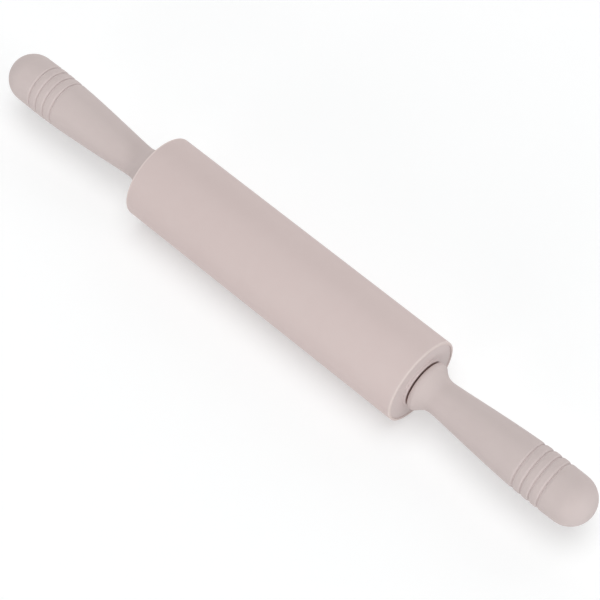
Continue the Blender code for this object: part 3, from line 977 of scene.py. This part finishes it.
AXLE_CHAMFER = 0.8 * MM
NO_KNURL = 1.0
thread_start = INSERT_START - 2.0 * MM
thread_end = AXLE_END - AXLE_CHAMFER
axle_outline = drawn(
    (0.0, AXLE_RADIUS, 0.0),
    (RING_BACK - SEAT, AXLE_RADIUS, 0.1 * MM),
    (RING_BACK - SEAT, GROOVE_RADIUS, 0.1 * MM),
    (RING_FACE + SEAT, GROOVE_RADIUS, 0.1 * MM),
    (RING_FACE + SEAT, AXLE_RADIUS, 0.1 * MM),
    *ruled(thread_start, thread_end, AXLE_RADIUS, THREAD_STEP),
    (AXLE_END, AXLE_RADIUS - AXLE_CHAMFER, 0.1 * MM),
    (AXLE_END, 0.0, 0.0),
    closed=False,
)
axle_sizes = {
    "thread level": AXLE_RADIUS,
    "thread start": thread_start,
    "thread end": thread_end,
    "knurl level": NO_KNURL,
    "ridges": 1,
    **thread_sizes,
}
right_half = run_recipe(threaded, axle_outline, facets=72, material=steel_finish, **axle_sizes)
set_in("axle", tidied(with_left_half(right_half), 50), "axle_rod", "handles")

# %% [markdown]
# ## Threaded inserts
#
# Plastic is too soft to hold a thread, so a brass nut is moulded into each core. Its outside is knurled in
# two bands so that it can't turn in the plastic, and the waist between them stops it from being pulled out.

# %% Turn the inserts
insert_middle = (INSERT_START + INSERT_END) / 2
insert_edge = 0.4 * MM
waist_half = 2.4 * MM
waist_radius = INSERT_RADIUS - 0.7 * MM
insert_outline = drawn(
    (INSERT_START, AXLE_HOLE + insert_edge, 0.1 * MM),
    *ruled(INSERT_START + insert_edge, INSERT_END - insert_edge, AXLE_HOLE, THREAD_STEP),
    (INSERT_END, AXLE_HOLE + insert_edge, 0.1 * MM),
    (INSERT_END, INSERT_RADIUS - insert_edge, 0.1 * MM),
    *ruled(INSERT_END - insert_edge, insert_middle + waist_half, INSERT_RADIUS, KNURL_STEP),
    (insert_middle + waist_half, waist_radius, 0.2 * MM),
    (insert_middle - waist_half, waist_radius, 0.2 * MM),
    *ruled(insert_middle - waist_half, INSERT_START + insert_edge, INSERT_RADIUS, KNURL_STEP),
    (INSERT_START, INSERT_RADIUS - insert_edge, 0.1 * MM),
)
insert_sizes = {
    "thread level": AXLE_HOLE,
    "thread start": INSERT_START,
    "thread end": INSERT_END,
    "room": SEAT / 2,
    "knurl level": INSERT_RADIUS,
    "knurl depth": 0.2 * MM,
    "ridges": 24,
    **thread_sizes,
}
insert = run_recipe(threaded, insert_outline, facets=144, material=brass_finish, **insert_sizes)
set_pair("knurled_insert", tidied(insert, 50), "threaded_insert", "handles")

# %% [markdown]
# ## Snap rings
#
# A snap ring is stamped from spring steel: a flat strip nearly round, with an open mouth to push it over
# the rod and three lobes inside that grip the groove. Its outline isn't round about the axle, so it is
# drawn point by point, in four layers that ease its edges.


# %% Stamp the snap rings
RING_WIDTH = 3.6 * MM
RING_MOUTH = math.radians(38)
RING_EASE = 0.1 * MM
LOBE_RISE = 1.2 * MM


def ring_layer(angles, drawn_in):
    """Distance and angle of the points round one layer: along the rim, and back along the lobes."""
    lobe = GROOVE_RADIUS + SEAT
    rim = lobe + RING_WIDTH
    outside = [(rim - drawn_in, angle) for angle in angles]
    rises = [LOBE_RISE * (0.5 + 0.5 * math.cos(3 * angle)) for angle in angles]
    inside = [(lobe + drawn_in + rise, angle) for rise, angle in zip(rises, angles)]
    return outside + inside[::-1]


def snap_ring(steps=96):
    open_angle = 2 * math.pi - 2 * RING_MOUTH
    angles = [RING_MOUTH + open_angle * step / steps for step in range(steps + 1)]
    flats = [(RING_BACK + RING_EASE, 0), (RING_FACE - RING_EASE, 0)]
    shape = bmesh.new()
    layers = []
    for place, drawn_in in [(RING_BACK, RING_EASE), *flats, (RING_FACE, RING_EASE)]:
        layer = []
        for radius, angle in ring_layer(angles, drawn_in):
            layer.append(shape.verts.new((place, radius * math.sin(angle), radius * math.cos(angle))))
        layers.append(layer)
    count = len(layers[0])
    for low, high in zip(layers, layers[1:]):
        for index in range(count):
            after = (index + 1) % count
            shape.faces.new((low[index], low[after], high[after], high[index]))
    for layer in (layers[0], layers[-1]):
        for index in range(steps):
            shape.faces.new((layer[index], layer[index + 1], layer[-2 - index], layer[-1 - index]))
    mesh = bpy.data.meshes.new("snap_ring")
    shape.to_mesh(mesh)
    shape.free()
    mesh.materials.append(stamped_finish)
    return mesh


set_pair("snap_ring", tidied(snap_ring(), 30), "retaining_ring", "handles")

# %% [markdown]
# ## Cores
#
# Under each soft skin is a stiff core that follows the same side, drawn in by the skin's wall and a small
# gap. It is moulded hollow, with a little draft so that it leaves its mould. Two crossed webs stiffen it:
# four ribs of the plug's recipe, each run a little past the axle so that they cross.


# %% Draw the side of a core
def side_points(inset):
    """The handle's side, drawn in by inset, as corners from the collar to the dome."""
    corners = []
    collar = (FLARE_START, COLLAR_RADIUS - inset)
    neck = (NECK, NECK_RADIUS - inset)
    grip = (GRIP_END, GRIP_RADIUS - inset)
    bends = ((collar, COLLAR_REACH, neck, FLARE_REACH), (neck, NECK_REACH, grip, GRIP_REACH))
    for start, leave, end, arrive in bends:
        handles = ((start[0] + leave, start[1], 0), (end[0] - arrive, end[1], 0))
        run = interpolate_bezier((*start, 0), *handles, (*end, 0), BEND_POINTS)
        # The second bend starts where the first one ends
        first = 1 if corners else 0
        corners += [(point.x, point.y, 0.0) for point in run[first:]]
    return corners + [(DOME_START, DOME_RADIUS - inset, 0.0)]


def radius_at(corners, place):
    """The radius of a side at a place along the axle."""
    for (x0, r0, *_), (x1, r1, *_) in zip(corners, corners[1:]):
        if x0 <= place <= x1:
            return r0 + (r1 - r0) * (place - x0) / (x1 - x0)
    return corners[-1][1]


CORE_INSET = SKIN + SEAT
CORE_WALL = 1.8 * MM
core_side = side_points(CORE_INSET)
print("the side of a core has", len(core_side), "points")

# %% Turn the cores and set their webs
WEB_CLEARANCE = 1.5 * MM
WEB_CROSSING = 0.4 * MM
WEB_START = AXLE_END + WEB_CLEARANCE
WEB_END = SPIGOT_END - WEB_CLEARANCE
hollow = [(place, radius_at(core_side, place) - CORE_WALL, 0.3 * MM) for place in (INSERT_END, DOME_START)]
pocket = INSERT_RADIUS + SEAT
core_outline = drawn(
    (NOSE_FACE, AXLE_HOLE, 0.3 * MM),
    (NOSE_FACE, FLANGE_RADIUS, 0.4 * MM),
    (COLLAR_FACE, FLANGE_RADIUS, 0.2 * MM),
    (COLLAR_FACE, COLLAR_RADIUS - CORE_INSET, 0.5 * MM),
    *core_side,
    *reversed(hollow),
    (INSERT_END, pocket, 0.2 * MM),
    (INSERT_FLOOR, pocket, 0.2 * MM),
    (INSERT_FLOOR, AXLE_HOLE, 0.2 * MM),
)
web_sizes = {
    "thickness": RIB_THICKNESS,
    "inner": -WEB_CROSSING,
    "front": WEB_END,
    "back": WEB_START,
    "outer front": radius_at(hollow, WEB_END) + rib_root,
    "outer back": radius_at(hollow, WEB_START) + rib_root,
}
core = run_recipe(ribbed, core_outline, facets=112, ribs=4, material=barrel_finish, **web_sizes)
set_pair("webbed_core", tidied(core), "handle_core", "handles")

# %% [markdown]
# ## Caps
#
# A core is open at its tip, where the pin that makes its hollow comes out. A domed cap closes it: its
# spigot fits the hollow, and its dome carries the soft tip. Both of its rounds are arcs about one middle,
# so a function draws them, and the outline is open where it meets the axle.


# %% Turn the caps
DOME_STEPS = 20
CAP_WALL = 1.6 * MM


def dome_points(radius, first=0.0):
    """A quarter round over the dome plane, from its rim to its tip on the axle."""
    angles = [first + (math.pi / 2 - first) * step / DOME_STEPS for step in range(DOME_STEPS + 1)]
    return [(DOME_START + radius * math.sin(angle), radius * math.cos(angle), 0.0) for angle in angles]


cap_radius = DOME_RADIUS - CORE_INSET
spigot = radius_at(hollow, SPIGOT_END) - SEAT
cap_bore = spigot - CAP_WALL
cap_seat = DOME_START + SEAT
cap_outline = drawn(
    *reversed(dome_points(cap_bore)),
    (SPIGOT_END, cap_bore, 0.3 * MM),
    (SPIGOT_END, spigot, 0.4 * MM),
    (cap_seat, spigot, 0.1 * MM),
    *dome_points(cap_radius, math.asin(SEAT / cap_radius)),
    closed=False,
)
cap = run_recipe(turning, cap_outline, facets=112, material=barrel_finish)
set_pair("tip_cap", tidied(cap), "core_cap", "handles")
print("every node of the solid model has its finer piece")

# %% [markdown]
# ## Paper and air
#
# A product picture of this kind is taken on white paper in a tent of lit cloth. The paper is a plain pale
# floor. Where the camera or a gloss sees it, its own material lightens it to white, which adds no light to
# the tool and keeps the shadow. The air is white to the camera in the same way, and a weak even light to
# the tool.

# %% Lay the paper
scene.view_settings.view_transform = "Standard"

FLOOR_LEVEL = -ROLLER_RADIUS
WORLD_LIGHT = 0.25
PAPER_GLOW = 0.37
PAPER_SEEN = (0.675, 0.682, 0.684, 1.0)
PAPER = (0.8, 0.8, 0.8, 1.0)
WHITE = (1.0, 1.0, 1.0, 1.0)


def seen_directly(board):
    """1 for a ray from the camera, a gloss or glass, and 0 for light that falls on the tool."""
    path = board.add("ShaderNodeLightPath")
    mirrored = path.out("Is Glossy Ray").math("MAXIMUM", path.out("Is Transmission Ray"))
    return mirrored.math("MAXIMUM", path.out("Is Camera Ray"))


world = bpy.data.worlds.new("studio_air")
world.use_nodes = True
scene.world = world
air = Board(world.node_tree)
even = air.add("ShaderNodeBackground", {"Color": WHITE, "Strength": WORLD_LIGHT})
white = air.add("ShaderNodeBackground", {"Color": WHITE, "Strength": 1.0})
both = air.add("ShaderNodeMixShader", {0: seen_directly(air), 1: even, 2: white})
air.add("ShaderNodeOutputWorld", {"Surface": both})

paper = Finish("white_paper")
plain = paper.add("ShaderNodeBsdfDiffuse", {"Color": PAPER})
lit = paper.add("ShaderNodeBsdfDiffuse", {"Color": PAPER_SEEN})
glow = paper.add("ShaderNodeEmission", {"Color": WHITE, "Strength": PAPER_GLOW})
seen_paper = paper.add("ShaderNodeAddShader", {0: lit, 1: glow})
paper_mix = paper.add("ShaderNodeMixShader", {0: seen_directly(paper), 1: plain, 2: seen_paper})
paper.add("ShaderNodeOutputMaterial", {"Surface": paper_mix})

paper_reach = 3.0
signs = ((-1, -1), (1, -1), (1, 1), (-1, 1))
corners = [(x * paper_reach, y * paper_reach, FLOOR_LEVEL) for x, y in signs]
floor_mesh = bpy.data.meshes.new("floor")
floor_mesh.from_pydata(corners, [], [(0, 1, 2, 3)])
floor_mesh.materials.append(paper.material)
floor = new_object("floor", floor_mesh)
floor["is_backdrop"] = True
print("floor at", round(FLOOR_LEVEL / MM, 1), "mm")

# %% [markdown]
# ## Lights
#
# A broad soft light over the tool, two behind it and one at its right end make the shadow fall softly
# towards the camera's left. A row of lights low down fills the near side without a shadow of its own,
# because light that skims the paper hardly adds to it. Each is a sun lamp with a wide disc, like lit cloth
# far away. An area lamp would fall off with distance; a sun lamp lights both handles alike.


# %% Hang the lights
def soft_light(name, heading, height, disc, strength):
    """Lit cloth far away: heading from the right handle, height over the paper and width in degrees."""
    data = bpy.data.lights.new(name, "SUN")
    data.angle = math.radians(disc)
    data.energy = math.pi * strength
    lamp = new_object(name, data)
    lamp.rotation_euler = (0, math.radians(90 - height), math.radians(heading))


lights = {
    "top_light": (0, 90, 50, 0.416),
    "right_light": (0, 25, 50, 0.196),
    "back_light": (90, 25, 50, 0.144),
    "back_left_light": (135, 25, 50, 0.121),
    "low_light_0": (0, 8, 16, 0.088),
    "low_light_225": (225, 8, 16, 0.108),
    "low_light_270": (270, 8, 16, 0.204),
    "low_light_315": (315, 8, 16, 0.170),
}
for name, given in lights.items():
    soft_light(name, *given)
print(len(bpy.data.lights), "lights")

# %% [markdown]
# ## Both boxes
#
# The finer pieces must not outgrow the solid model, so both boxes are gathered side by side, and the dressed
# one is printed.

# %% Gather both boxes
dressed_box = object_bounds()
boxes = {"solid": [list(corner) for corner in solid_box], "dressed": [list(corner) for corner in dressed_box]}
print("dressed box in mm:", [[round(value / MM, 2) for value in corner] for corner in boxes["dressed"]])
